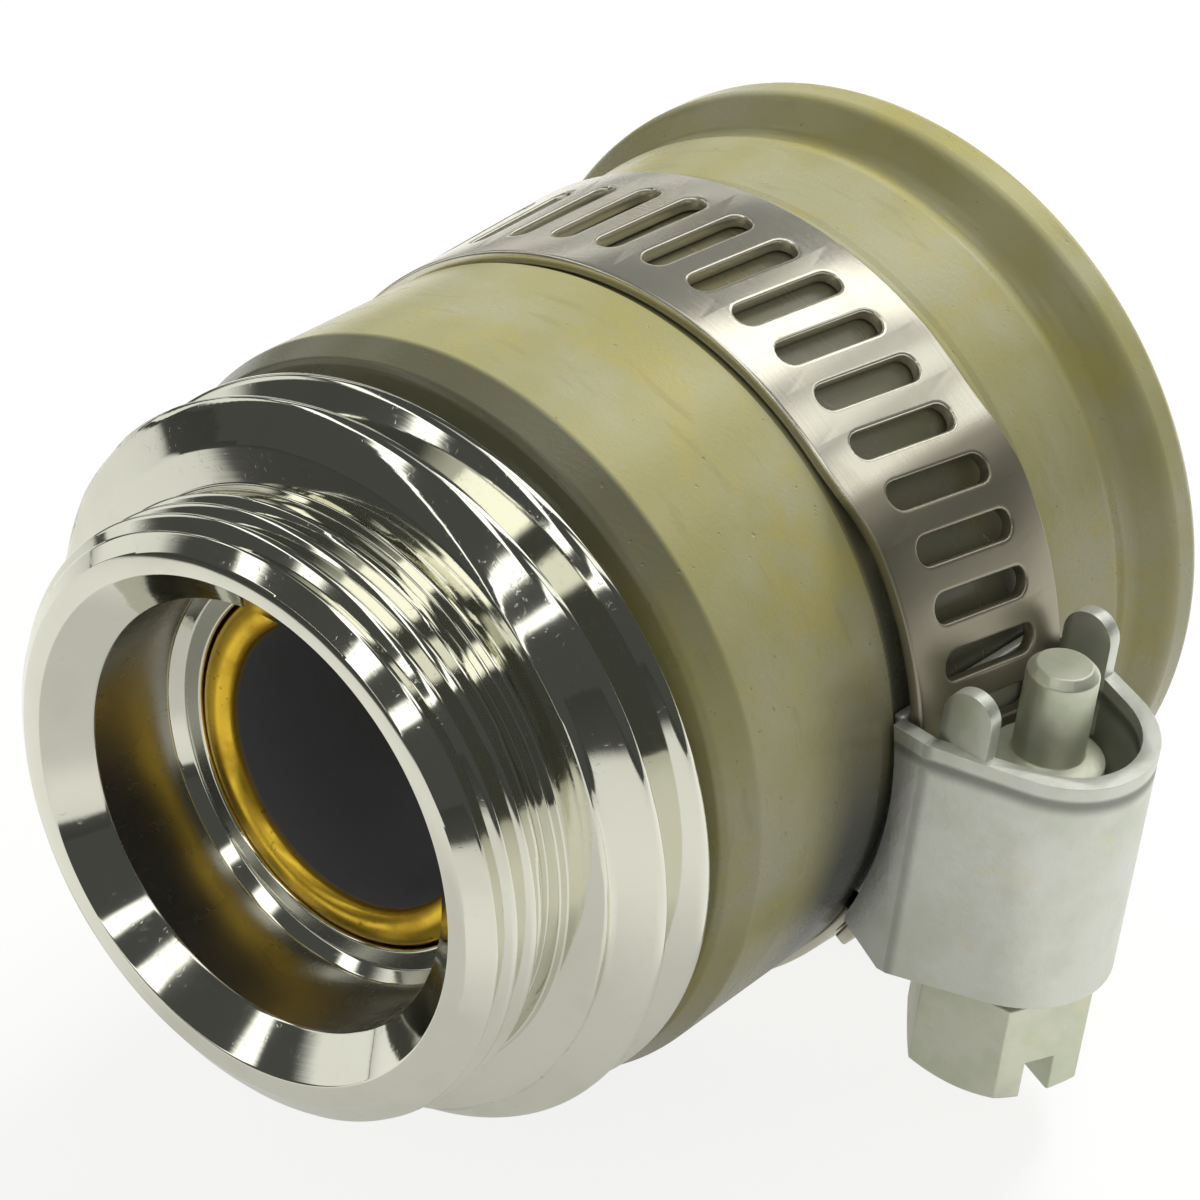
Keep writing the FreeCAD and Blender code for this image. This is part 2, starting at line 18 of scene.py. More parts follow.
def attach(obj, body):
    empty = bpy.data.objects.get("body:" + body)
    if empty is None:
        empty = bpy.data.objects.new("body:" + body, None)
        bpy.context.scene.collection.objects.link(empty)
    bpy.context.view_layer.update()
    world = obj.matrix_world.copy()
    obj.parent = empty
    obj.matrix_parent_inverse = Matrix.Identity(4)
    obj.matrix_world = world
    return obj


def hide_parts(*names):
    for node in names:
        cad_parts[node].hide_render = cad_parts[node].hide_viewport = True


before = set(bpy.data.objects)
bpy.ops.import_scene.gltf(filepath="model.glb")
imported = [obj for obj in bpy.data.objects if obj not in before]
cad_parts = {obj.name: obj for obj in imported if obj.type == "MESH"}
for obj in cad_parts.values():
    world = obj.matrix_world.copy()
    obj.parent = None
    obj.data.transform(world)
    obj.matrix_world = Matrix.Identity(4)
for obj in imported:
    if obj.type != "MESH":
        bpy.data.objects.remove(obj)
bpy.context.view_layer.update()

MM = 0.001
COLUMNS = 240
SUPPORT = 0.03
WELD = 2e-6
Colour = tuple[float, float, float]
Point = tuple[float, float]

log = logging.getLogger("hose_adapter")


class Slot(Enum):
    """Material slots of the record."""

    CHROME = "chromed_brass"
    BRASS = "bare_brass"
    RUBBER = "olive_rubber"
    STRIP = "stainless_strip"
    PLATE = "zinc_plate"
    SCREW = "zinc_screw"


class Body(Enum):
    """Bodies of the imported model."""

    ADAPTER = "adapter"
    CLAMP = "clamp"
    BAND = "band"
    SCREW = "screw"


class Amount:
    """One number in a node tree. Sums written with it add their Math nodes."""

    def __init__(self, tree: bpy.types.NodeTree, socket: bpy.types.NodeSocket) -> None:
        """Wrap a socket of a tree."""
        self.tree = tree
        self.socket = socket

    def sum(self, operation: str, *values: "Amount | float") -> "Amount":
        """Add one Math node.

        Args:
            operation: Name of the Math operation.
            values: Its operands in order.

        Returns:
            The node's result.
        """
        made = self.tree.nodes.new("ShaderNodeMath")
        made.operation = operation
        for socket, value in zip(made.inputs, values):
            if isinstance(value, Amount):
                self.tree.links.new(value.socket, socket)
            else:
                socket.default_value = value
        return Amount(self.tree, made.outputs[0])

    def __add__(self, other: "Amount | float") -> "Amount":
        """Return self + other."""
        return self.sum("ADD", self, other)

    __radd__ = __add__

    def __sub__(self, other: "Amount | float") -> "Amount":
        """Return self - other."""
        return self.sum("SUBTRACT", self, other)

    def __rsub__(self, other: "Amount | float") -> "Amount":
        """Return other - self."""
        return self.sum("SUBTRACT", other, self)

    def __mul__(self, other: "Amount | float") -> "Amount":
        """Return self * other."""
        return self.sum("MULTIPLY", self, other)

    __rmul__ = __mul__

    def __truediv__(self, other: "Amount | float") -> "Amount":
        """Return self / other."""
        return self.sum("DIVIDE", self, other)

    def __rtruediv__(self, other: "Amount | float") -> "Amount":
        """Return other / self."""
        return self.sum("DIVIDE", other, self)

    def __neg__(self) -> "Amount":
        """Return -self."""
        return self.sum("MULTIPLY", self, -1.0)

    def least(self, other: "Amount | float") -> "Amount":
        """Return the smaller of two amounts."""
        return self.sum("MINIMUM", self, other)

    def most(self, other: "Amount | float") -> "Amount":
        """Return the larger of two amounts."""
        return self.sum("MAXIMUM", self, other)

    def root(self) -> "Amount":
        """Return the square root."""
        return self.sum("SQRT", self)

    def sine(self) -> "Amount":
        """Return the sine of an angle in radians."""
        return self.sum("SINE", self)

    def cosine(self) -> "Amount":
        """Return the cosine of an angle in radians."""
        return self.sum("COSINE", self)

    def fraction(self) -> "Amount":
        """Return what is left over above the next lower whole number."""
        return self.sum("FRACT", self)

    def unsigned(self) -> "Amount":
        """Return the amount without its sign."""
        return self.sum("ABSOLUTE", self)

    def angle(self, other: "Amount") -> "Amount":
        """Return the angle from the direction of other towards that of self, in degrees."""
        return self.sum("ARCTAN2", self, other) * (180.0 / math.pi)

    def held(self, low: "Amount | float" = 0.0, high: "Amount | float" = 1.0) -> "Amount":
        """Return the amount kept between two limits."""
        return self.most(low).least(high)

    def eased(self) -> "Amount":
        """Return a soft step of an amount from 0 to 1."""
        kept = self.held()
        return kept * kept * (3.0 - 2.0 * kept)

    def step(self, low: float, high: float) -> "Amount":
        """Return 0 below low, 1 above high and a soft rise between them."""
        return ((self - low) / (high - low)).eased()

    def window(self, rise: tuple[float, float], fall: tuple[float, float]) -> "Amount":
        """Return 1 inside a range and 0 outside it.

        Args:
            rise: Where the soft rise to 1 starts and ends.
            fall: Where the soft fall back to 0 starts and ends.

        Returns:
            The product of the rise and the fall.
        """
        return self.step(*rise) * (1.0 - self.step(*fall))


Value = Amount | bpy.types.NodeSocket | float | int | bool | str | tuple


class Tree:
    """Short forms for adding nodes to one tree."""

    def __init__(self, tree: bpy.types.NodeTree) -> None:
        """Wrap a node tree."""
        self.tree = tree

    def node(self, kind: str, settings: dict | None = None, inputs: dict | None = None) -> bpy.types.Node:
        """Add a node.

        Args:
            kind: Its type name.
            settings: Its own settings, set first.
            inputs: Values or links for its sockets, by name or place.

        Returns:
            The node.
        """
        made = self.tree.nodes.new(kind)
        for name, value in (settings or {}).items():
            setattr(made, name, value)
        for key, value in (inputs or {}).items():
            self.feed(made.inputs[key], value)
        return made

    def feed(self, socket: bpy.types.NodeSocket, value: Value) -> None:
        """Link or set one input socket."""
        if isinstance(value, Amount):
            self.tree.links.new(value.socket, socket)
        elif isinstance(value, bpy.types.NodeSocket):
            self.tree.links.new(value, socket)
        else:
            socket.default_value = value

    def amount(self, socket: bpy.types.NodeSocket) -> Amount:
        """Wrap a socket for sums."""
        return Amount(self.tree, socket)

    def split(self, vector: bpy.types.NodeSocket) -> tuple[Amount, Amount, Amount]:
        """Return the three parts of a vector."""
        parts = self.node("ShaderNodeSeparateXYZ", inputs={0: vector})
        return tuple(self.amount(socket) for socket in parts.outputs)

    def vector(self, x: Value, y: Value, z: Value) -> bpy.types.NodeSocket:
        """Join three numbers to a vector."""
        return self.node("ShaderNodeCombineXYZ", inputs={0: x, 1: y, 2: z}).outputs[0]

    def noise(self, vector: bpy.types.NodeSocket, scale: float, detail: float = 3.0, rough: float = 0.55) -> Amount:
        """Return a noise pattern from 0 to 1.

        Args:
            vector: Where the pattern is read.
            scale: How often it changes.
            detail: Its finer layers.
            rough: The share of the finer layers.
        """
        inputs = {"Vector": vector, "Scale": scale, "Detail": detail, "Roughness": rough}
        return self.amount(self.node("ShaderNodeTexNoise", inputs=inputs).outputs["Fac"])

    def blend(self, share: Value, first: Value, second: Value) -> bpy.types.NodeSocket:
        """Return a colour between two colours, the second at a share of 1."""
        first = (*first, 1.0) if isinstance(first, tuple) else first
        second = (*second, 1.0) if isinstance(second, tuple) else second
        made = self.node("ShaderNodeMix", {"data_type": "RGBA"}, {0: share, 6: first, 7: second})
        return made.outputs[2]


@dataclass(frozen=True)
class Finish:
    """A surface finish whose detail is read from the position on the piece, in millimetres."""

    name: str
    slot: Slot

    def paint(self, tree: Tree, place: bpy.types.NodeSocket, shader: bpy.types.Node) -> None:
        """Fill the shader's sockets. Each finish has its own."""
        raise NotImplementedError

    def material(self) -> bpy.types.Material:
        """Return the finish as a material, made once."""
        known = bpy.data.materials.get(self.name)
        if known is not None:
            return known
        made = bpy.data.materials.new(self.name)
        made.use_nodes = True
        made.node_tree.nodes.clear()
        tree = Tree(made.node_tree)
        seat = tree.node("ShaderNodeTexCoord").outputs["Object"]
        place = tree.node("ShaderNodeVectorMath", {"operation": "SCALE"}, {0: seat, "Scale": 1.0 / MM})
        shader = tree.node("ShaderNodeBsdfPrincipled")
        tree.node("ShaderNodeOutputMaterial", inputs={"Surface": shader.outputs[0]})
        self.paint(tree, place.outputs[0], shader)
        return made

    def bump(self, tree: Tree, shader: bpy.types.Node, height: Amount, depth: float) -> None:
        """Lead a height pattern to the shader's normal.

        Args:
            tree: The finish's tree.
            shader: The shader.
            height: The pattern.
            depth: Millimetres for a height of 1.
        """
        inputs = {"Strength": 1.0, "Distance": depth * MM, "Height": height}
        tree.feed(shader.inputs["Normal"], tree.node("ShaderNodeBump", inputs=inputs).outputs[0])


@dataclass(frozen=True)
class ChromeFinish(Finish):
    """Bright chromium plate over turned brass, with faint turning rings, haze and hair scratches.

    The bore has rougher plate and is painted darker there, a painted shade. Its radius is where this ends.
    """

    name: str = "bright_chrome"
    slot: Slot = Slot.CHROME
    light: Colour = (0.735, 0.73, 0.635)
    haze: Colour = (0.66, 0.65, 0.55)
    bore_shade: Colour = (0.31, 0.31, 0.30)
    bore_shade_share: float = 0.8
    dull_shade_radius: tuple[float, float] = (7.90, 8.00)
    dull_shade_from: tuple[float, float] = (1.2, 1.4)
    dull_shade_to: tuple[float, float] = (4.75, 4.85)

    def paint(self, tree: Tree, place: bpy.types.NodeSocket, shader: bpy.types.Node) -> None:
        """Fill the shader's sockets."""
        x, y, z = tree.split(place)
        cloud = tree.noise(place, 0.22, 3.0)
        spots = tree.noise(place, 1.9, 4.0, 0.6).step(0.60, 0.74)
        rings = tree.noise(tree.vector(x * 0.02, y * 9.0, z * 0.02), 1.0, 3.0, 0.7)
        scratch = tree.noise(tree.vector(x * 5.0, y * 0.5, z * 5.0), 1.0, 2.0, 0.5).step(0.66, 0.7)
        stain = cloud.step(0.45, 0.75) * 0.75 + spots * 0.25
        radius = (x * x + z * z).root()
        # The bore: rougher plate, and a painted shade that darkens its colour.
        bore = (1.0 - radius.step(*self.dull_shade_radius)) * y.window(self.dull_shade_from, self.dull_shade_to)
        colour = tree.blend(stain, self.light, self.haze)
        tree.feed(shader.inputs["Base Color"], tree.blend(bore * self.bore_shade_share, colour, self.bore_shade))
        shader.inputs["Metallic"].default_value = 1.0
        rough = 0.055 + stain * 0.05 + spots * 0.05 + scratch * 0.04 + bore * 0.21
        tree.feed(shader.inputs["Roughness"], rough)
        waves = tree.noise(place, 0.45, 1.0)
        self.bump(tree, shader, rings * 0.04 + waves * 0.6 + scratch * 0.02, 0.02)


@dataclass(frozen=True)
class BrassFinish(Finish):
    """Turned yellow brass with a thin lacquer, darker where dirt sits, with painted shade in black-grey in the
    bore.
    """

    name: str = "turned_brass"
    slot: Slot = Slot.BRASS
    light: Colour = (0.94, 0.62, 0.06)
    dark: Colour = (0.55, 0.30, 0.03)
    bore: Colour = (0.19, 0.19, 0.21)
    bore_radius: tuple[float, float] = (5.34, 5.48)
    bore_from: tuple[float, float] = (5.45, 5.75)

    def paint(self, tree: Tree, place: bpy.types.NodeSocket, shader: bpy.types.Node) -> None:
        """Fill the shader's sockets."""
        x, y, z = tree.split(place)
        cloud = tree.noise(place, 0.55, 4.0, 0.6)
        specks = tree.noise(place, 3.2, 2.0).step(0.66, 0.72)
        rings = tree.noise(tree.vector(x * 0.05, y * 12.0, z * 0.05), 1.0, 2.0, 0.6)
        dirt = (cloud.step(0.42, 0.72) * 0.6 + specks * 0.7).held()
        radius = (x * x + z * z).root()
        inside = (1.0 - radius.step(*self.bore_radius)) * y.step(*self.bore_from)
        colour = tree.blend(dirt, self.light, self.dark)
        # Painted shade: the bore is black-grey and not metal.
        tree.feed(shader.inputs["Base Color"], tree.blend(inside, colour, self.bore))
        tree.feed(shader.inputs["Metallic"], 1.0 - inside)
        tree.feed(shader.inputs["Roughness"], 0.22 + cloud * 0.16 + dirt * 0.15 + inside * 0.3)
        self.bump(tree, shader, rings * 0.4 + cloud * 0.4, 0.02)


@dataclass(frozen=True)
class RubberFinish(Finish):
    """Smooth olive rubber with a soft gloss, fine pits, pale bloom and a few rubbed marks.

    Three places are painted darker to match the photograph, where they look like shade more than dirt:
    under the strip, beside the clamp and on the upper part of the front lip.
    """

    name: str = "clouded_rubber"
    slot: Slot = Slot.RUBBER
    main: Colour = (0.420, 0.392, 0.175)
    pale: Colour = (0.455, 0.436, 0.262)
    gold: Colour = (0.480, 0.415, 0.120)
    dark: Colour = (0.290, 0.270, 0.130)
    seat: Colour = (0.09, 0.09, 0.08)
    strip_shade_share: float = 0.68
    seat_from: tuple[float, float] = (18.05, 18.35)
    seat_to: tuple[float, float] = (26.5, 26.9)
    clamp_shadow: Colour = (0.04, 0.04, 0.04)
    clamp_shadow_from: tuple[float, float] = (12.4, 15.8)
    clamp_shadow_turn: tuple[float, float] = (58.0, 106.0)
    lip: Colour = (0.150, 0.150, 0.100)
    lip_shade_share: float = 0.85
    lip_shade_to: tuple[float, float] = (10.15, 10.45)
    lip_shade_height: tuple[float, float] = (4.5, 11.5)

    def paint(self, tree: Tree, place: bpy.types.NodeSocket, shader: bpy.types.Node) -> None:
        """Fill the shader's sockets."""
        x, y, z = tree.split(place)
        cloud = tree.noise(place, 0.16, 4.0, 0.55)
        grain = tree.noise(place, 6.0, 3.0, 0.6)
        pits = tree.noise(place, 2.6, 2.0).step(0.70, 0.78)
        rubs = tree.noise(tree.vector(x * 0.35, y * 1.6, z * 0.35), 1.0, 3.0).step(0.58, 0.72)
        tint = tree.noise(tree.vector(x + 9.0, y, z), 0.30, 4.0, 0.6).step(0.50, 0.68)
        colour = tree.blend(cloud.step(0.40, 0.66), self.main, self.pale)
        colour = tree.blend(tint * 0.6, colour, self.gold)
        colour = tree.blend((pits * 0.5 + rubs * 0.25).held(), colour, self.dark)
        # Painted shade on the sleeve under the strip.
        seat = y.window(self.seat_from, self.seat_to) * self.strip_shade_share
        colour = tree.blend(seat, colour, self.seat)
        # Painted shadow of the clamp on the sleeve beside it.
        beside = y.window(self.clamp_shadow_from, self.seat_to) * x.angle(z).step(*self.clamp_shadow_turn)
        colour = tree.blend(beside, colour, self.clamp_shadow)
        # Painted shade on the upper part of the front lip.
        front = (1.0 - y.step(*self.lip_shade_to)) * z.step(*self.lip_shade_height) * self.lip_shade_share
        colour = tree.blend(front, colour, self.lip)
        tree.feed(shader.inputs["Base Color"], colour)
        tree.feed(shader.inputs["Roughness"], 0.19 + cloud * 0.10 + rubs * 0.08 + grain * 0.04)
        shader.inputs["Specular IOR Level"].default_value = 0.45
        self.bump(tree, shader, grain * 0.25 - pits * 0.5 + cloud * 0.8, 0.03)


@dataclass(frozen=True)
class StripFinish(Finish):
    """Rolled stainless strip, brushed along its length, with a few faint smudges.

    Its tail is painted darker to match the photograph, where that looks like a dark reflection.
    """

    name: str = "rolled_stainless"
    slot: Slot = Slot.STRIP
    light: Colour = (0.80, 0.77, 0.65)
    warm: Colour = (0.68, 0.63, 0.47)
    dark_reflection: Colour = (0.36, 0.33, 0.25)
    tail_from: tuple[float, float] = (50.5, 54.0)
    tail_to: tuple[float, float] = (120.0, 128.0)

    def paint(self, tree: Tree, place: bpy.types.NodeSocket, shader: bpy.types.Node) -> None:
        """Fill the shader's sockets."""
        x, y, z = tree.split(place)
        # Painted dark reflection on the tail, which is also rougher.
        tail = x.angle(z).window(self.tail_from, self.tail_to)
        brush = tree.noise(tree.vector(x * 0.10, y * 9.0, z * 0.10), 1.0, 4.0, 0.65)
        fine = tree.noise(tree.vector(x * 0.3, y * 30.0, z * 0.3), 1.0, 2.0, 0.5)
        cloud = tree.noise(place, 0.28, 3.0)
        stain = (cloud.step(0.45, 0.75) * 0.6 + brush.step(0.55, 0.75) * 0.25).held()
        colour = tree.blend(stain, self.light, self.warm)
        tree.feed(shader.inputs["Base Color"], tree.blend(tail, colour, self.dark_reflection))
        shader.inputs["Metallic"].default_value = 0.82
        tree.feed(shader.inputs["Roughness"], 0.17 + brush * 0.10 + stain * 0.05 + tail * 0.12)
        self.bump(tree, shader, brush * 0.3 + fine * 0.2 + cloud * 0.4, 0.012)


@dataclass(frozen=True)
class ZincFinish(Finish):
    """Bright zinc plate on pressed steel, satin and mottled, with a thin yellow-green passivation.

    A folded piece also has painted shade below its rim, along its fold and on its foot. The rim leans with the
    screw.
    """

    name: str = "zinc_cover"
    slot: Slot = Slot.PLATE
    light: Colour = (0.770, 0.775, 0.710)
    green: Colour = (0.665, 0.700, 0.595)
    yellow: Colour = (0.780, 0.745, 0.520)
    shade: Colour = (0.200, 0.205, 0.180)
    seed: float = 0.0
    folded: bool = False
    lean: float = 7.5
    rim_up: float = 3.45
    rim_out: float = 11.15
    rim_slope: float = 0.0773

    def paint(self, tree: Tree, place: bpy.types.NodeSocket, shader: bpy.types.Node) -> None:
        """Fill the shader's sockets."""
        moved = tree.node("ShaderNodeVectorMath", {"operation": "ADD"}, {0: place, 1: (self.seed,) * 3}).outputs[0]
        cloud = tree.noise(moved, 0.35, 4.0, 0.6)
        mottle = tree.noise(moved, 1.6, 4.0, 0.65)
        tint = tree.noise(moved, 0.62, 2.0)
        grain = tree.noise(moved, 7.0, 2.0)
        scuffs = tree.noise(moved, 3.1, 3.0, 0.7).step(0.64, 0.70)
        colour = tree.blend(cloud.step(0.40, 0.66) * 0.8 + mottle * 0.1, self.light, self.green)
        colour = tree.blend(tint.step(0.60, 0.80) * 0.5, colour, self.yellow)
        if self.folded:
            colour = tree.blend(self.fold_shade(tree, place), colour, self.shade)
        tree.feed(shader.inputs["Base Color"], colour)
        shader.inputs["Metallic"].default_value = 0.75
        tree.feed(shader.inputs["Roughness"], 0.33 + mottle * 0.16 + scuffs * 0.10)
        self.bump(tree, shader, mottle * 0.9 + grain * 0.35 + cloud * 1.4, 0.022)

    def fold_shade(self, tree: Tree, place: bpy.types.NodeSocket) -> Amount:
        """Return the painted shade below the rim, along the fold of the foot and on the foot."""
        x, _, z = tree.split(place)
        sine, cosine = math.sin(math.radians(self.lean)), math.cos(math.radians(self.lean))
        out, up = x * cosine - z * sine, x * sine + z * cosine
        depth = self.rim_up - (out - self.rim_out) * self.rim_slope - up
        rim = depth.window((0.42, 0.62), (0.72, 1.25))
        fold = out.window((14.85, 15.05), (15.12, 15.45))
        foot = 1.0 - out.step(14.95, 15.15)
        return (rim * 0.8).most(fold * 0.55).most(foot * 0.35)


def ring_point(radius: float, along: float, angle: float) -> Vector:
    """Return a point of the fitting in metres, from millimetres and an angle in degrees."""
    turn = math.radians(angle)
    return Vector((radius * math.sin(turn), along, radius * math.cos(turn))) * MM


def rounded(points: list[Point], radii: dict[int, float], closed: bool, usual: float = 0.1) -> list[Point]:
    """Round the corners of an outline and add support points beside each fillet.

    Args:
        points: Corners as radius and Y pairs.
        radii: Fillet radius of single corners, by place in the list.
        closed: True if the last corner joins the first.
        usual: Fillet radius of the other corners.

    Returns:
        The new outline.
    """
    count = len(points)
    made: list[Point] = []
    for index, here in enumerate(points):
        if not closed and index in (0, count - 1):
            made.append(here)
            continue
        corner = Vector(here)
        before = Vector(points[index - 1]) - corner
        after = Vector(points[(index + 1) % count]) - corner
        room = 0.45 * min(before.length, after.length)
        first, second = before.normalized(), after.normalized()
        spread = first.angle(second)
        radius = radii.get(index, usual)
        reach = min(radius / math.tan(spread / 2), room) if spread < math.pi - 0.02 else 0.0
        if reach < 0.005:
            made.append(here)
            continue
        radius = reach * math.tan(spread / 2)
        centre = corner + (first + second).normalized() * (radius / math.sin(spread / 2))
        start, end = corner + first * reach, corner + second * reach
        edge = min(SUPPORT, room * 1.05 - reach * 0.999)
        if edge > 0.004:
            made.append(tuple(start + first * edge))
        a, b = start - centre, end - centre
        sweep = a.angle(b)
        steps = max(2, round(math.degrees(sweep) / 15))
        side = 1.0 if a.x * b.y - a.y * b.x > 0 else -1.0
        for step in range(steps + 1):
            turn = Matrix.Rotation(side * sweep * step / steps, 2)
            made.append(tuple(centre + turn @ a))
        if edge > 0.004:
            made.append(tuple(end + second * edge))
    return made


def lathe(outline: list[Point], closed: bool, columns: int = COLUMNS) -> bpy.types.Mesh:
    """Turn an outline about the Y axis.

    Args:
        outline: Radius and Y pairs in millimetres.
        closed: True if the outline is a closed loop.
        columns: Steps of the full turn.

    Returns:
        The new mesh.
    """
    rows = len(outline)
    points = [ring_point(r, y, 360.0 * c / columns) for c in range(columns) for r, y in outline]
    faces = []
    for column in range(columns):
        here, there = column * rows, ((column + 1) % columns) * rows
        for row in range(rows if closed else rows - 1):
            up = (row + 1) % rows
            faces.append((here + row, here + up, there + up, there + row))
    made = bpy.data.meshes.new("turned")
    made.from_pydata(points, [], faces)
    return made


def joined(meshes: list[bpy.types.Mesh], weld: float = WELD) -> bpy.types.Mesh:
    """Weld meshes to one closed shell with its faces outwards.

    Args:
        meshes: Parts of the shell.
        weld: Points nearer than this are one.

    Returns:
        The shell, smooth shaded.
    """
    shell = bmesh.new()
    for mesh in meshes:
        shell.from_mesh(mesh)
    bmesh.ops.remove_doubles(shell, verts=shell.verts, dist=weld)
    bmesh.ops.dissolve_degenerate(shell, edges=shell.edges, dist=weld / 4)
    open_edges = [edge for edge in shell.edges if edge.is_boundary]
    if open_edges:
        bmesh.ops.holes_fill(shell, edges=open_edges, sides=0)
    bmesh.ops.recalc_face_normals(shell, faces=shell.faces)
    for face in shell.faces:
        face.smooth = True
    made = bpy.data.meshes.new("shell")
    shell.to_mesh(made)
    shell.free()
    return made


def show(name: str, mesh: bpy.types.Mesh) -> bpy.types.Object:
    """Put a mesh in the scene as an object at the origin."""
    made = bpy.data.objects.new(name, mesh)
    bpy.context.scene.collection.objects.link(made)
    return made


def settled(piece: bpy.types.Object) -> bpy.types.Mesh:
    """Return the mesh of an object with its modifiers worked in, and remove the object."""
    graph = bpy.context.evaluated_depsgraph_get()
    graph.update()
    made = bpy.data.meshes.new_from_object(piece.evaluated_get(graph))
    bpy.data.objects.remove(piece)
    return made


def dressed(name: str, mesh: bpy.types.Mesh, finish: Finish, body: Body, nodes: list[str]) -> bpy.types.Object:
    """Show a finished piece with its material, body and replaced CAD nodes.

    Args:
        name: Name of the piece.
        mesh: Its mesh in place.
        finish: Its finish.
        body: The body it rides on.
        nodes: CAD nodes it stands for.

    Returns:
        The piece.
    """
    mesh.materials.clear()
    mesh.materials.append(finish.material())
    piece = show(name, mesh)
    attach(piece, body.value)
    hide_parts(*nodes)
    log.info("%s: %d faces", name, len(mesh.polygons))
    return piece


class RuleTree:
    """A geometry tree with named inputs that is run once on an object."""

    def __init__(self, name: str, takes_mesh: bool) -> None:
        """Start the tree and its sockets."""
        self.group = bpy.data.node_groups.new(name, "GeometryNodeTree")
        if takes_mesh:
            self.group.interface.new_socket("Mesh", in_out="INPUT", socket_type="NodeSocketGeometry")
        self.group.interface.new_socket("Mesh", in_out="OUTPUT", socket_type="NodeSocketGeometry")
        self.tree = Tree(self.group)
        self.start = self.tree.node("NodeGroupInput")
        self.known: dict[str, str] = {}

    def number(self, name: str, whole: bool = False) -> Amount:
        """Add a named input and return it for sums."""
        kind = "NodeSocketInt" if whole else "NodeSocketFloat"
        made = self.group.interface.new_socket(name, in_out="INPUT", socket_type=kind)
        self.known[name] = made.identifier
        return self.tree.amount(self.start.outputs[name])

    def finish(self, geometry: bpy.types.NodeSocket, weld: float = WELD) -> None:
        """End the tree: weld, realise, shade smooth and set the material."""
        made = self.tree.node("GeometryNodeMergeByDistance", inputs={"Geometry": geometry, "Distance": weld})
        smooth = self.tree.node("GeometryNodeSetShadeSmooth", inputs={0: made.outputs[0]})
        real = self.tree.node("GeometryNodeRealizeInstances", inputs={0: smooth.outputs[0]})
        last = self.tree.node("GeometryNodeSetMaterial", inputs={0: real.outputs[0]})
        self.tree.node("NodeGroupOutput", inputs={0: last.outputs[0]})

    def run(self, sizes: dict[str, float], base: bpy.types.Mesh | None = None) -> bpy.types.Mesh:
        """Run the tree.

        Args:
            sizes: Values of the named inputs.
            base: The mesh it works on, if it takes one.

        Returns:
            The resulting mesh.
        """
        holder = show(self.group.name, base or bpy.data.meshes.new("blank"))
        modifier = holder.modifiers.new("rule", "NODES")
        modifier.node_group = self.group
        for name, value in sizes.items():
            modifier[self.known[name]] = value
        return settled(holder)


def thread_rule() -> RuleTree:
    """Build the tree of a right-hand outer thread whose rows of points follow the helix."""
    rule = RuleTree("thread_rule", takes_mesh=False)
    tree = rule.tree
    columns, rows = rule.number("Columns", whole=True), rule.number("Rows", whole=True)
    per_turn, first_row = rule.number("Rows per pitch"), rule.number("First row")
    pitch, crest_y = rule.number("Pitch"), rule.number("Crest Y")
    start, end = rule.number("Start Y"), rule.number("End Y")
    root, crest = rule.number("Root radius"), rule.number("Crest radius")
    root_half, crest_half = rule.number("Half root share"), rule.number("Half crest share")
    in_radius, in_length = rule.number("Lead-in radius"), rule.number("Lead-in length")
    out_radius, out_length = rule.number("Lead-out radius"), rule.number("Lead-out length")
    sizes = {"Size X": 1.0, "Size Y": 1.0, "Vertices X": columns + 1.0, "Vertices Y": rows}
    grid = tree.node("GeometryNodeMeshGrid", inputs=sizes)
    across, up, _ = tree.split(tree.node("GeometryNodeInputPosition").outputs[0])
    turn = across + 0.5
    row = (up + 0.5) * (rows - 1.0)
    raw = crest_y + pitch * ((row - first_row) / per_turn + turn)
    along = raw.most(start).least(end)
    phase = (along - crest_y) / pitch - turn
    away = ((phase + 0.5).fraction() - 0.5).unsigned()
    fall = ((away - crest_half) / (0.5 - root_half - crest_half)).held()
    radius = crest - (crest - root) * fall
    radius = radius.least(in_radius + (crest - in_radius) * (along - start) / in_length)
    radius = radius.least(out_radius + (crest - out_radius) * (end - along) / out_length)
    angle = turn * (2.0 * math.pi)
    place = tree.vector(radius * angle.sine() * MM, along * MM, radius * angle.cosine() * MM)
    moved = tree.node("GeometryNodeSetPosition", inputs={"Geometry": grid.outputs[0], "Position": place})
    rule.finish(moved.outputs[0], 1e-7)
    return rule


@dataclass
class ThreadSizes:
    """Sizes of one outer thread with its lead-in and lead-out cones."""

    pitch: float
    crest_y: float
    start_y: float
    end_y: float
    root: float
    crest: float
    root_flat: float
    crest_flat: float
    in_radius: float
    in_length: float
    out_radius: float
    out_length: float
    per_turn: int = 24

    def inputs(self) -> dict[str, float]:
        """Return the values for the thread tree."""
        first = math.ceil(self.per_turn * (1 + (self.crest_y - self.start_y) / self.pitch)) + 1
        rows = first + math.ceil(self.per_turn * (self.end_y - self.crest_y) / self.pitch) + 2
        return {
            "Columns": COLUMNS,
            "Rows": rows,
            "Rows per pitch": float(self.per_turn),
            "First row": float(first),
            "Pitch": self.pitch,
            "Crest Y": self.crest_y,
            "Start Y": self.start_y,
            "End Y": self.end_y,
            "Root radius": self.root,
            "Crest radius": self.crest,
            "Half root share": self.root_flat / self.pitch / 2,
            "Half crest share": self.crest_flat / self.pitch / 2,
            "Lead-in radius": self.in_radius,
            "Lead-in length": self.in_length,
            "Lead-out radius": self.out_radius,
            "Lead-out length": self.out_length,
        }


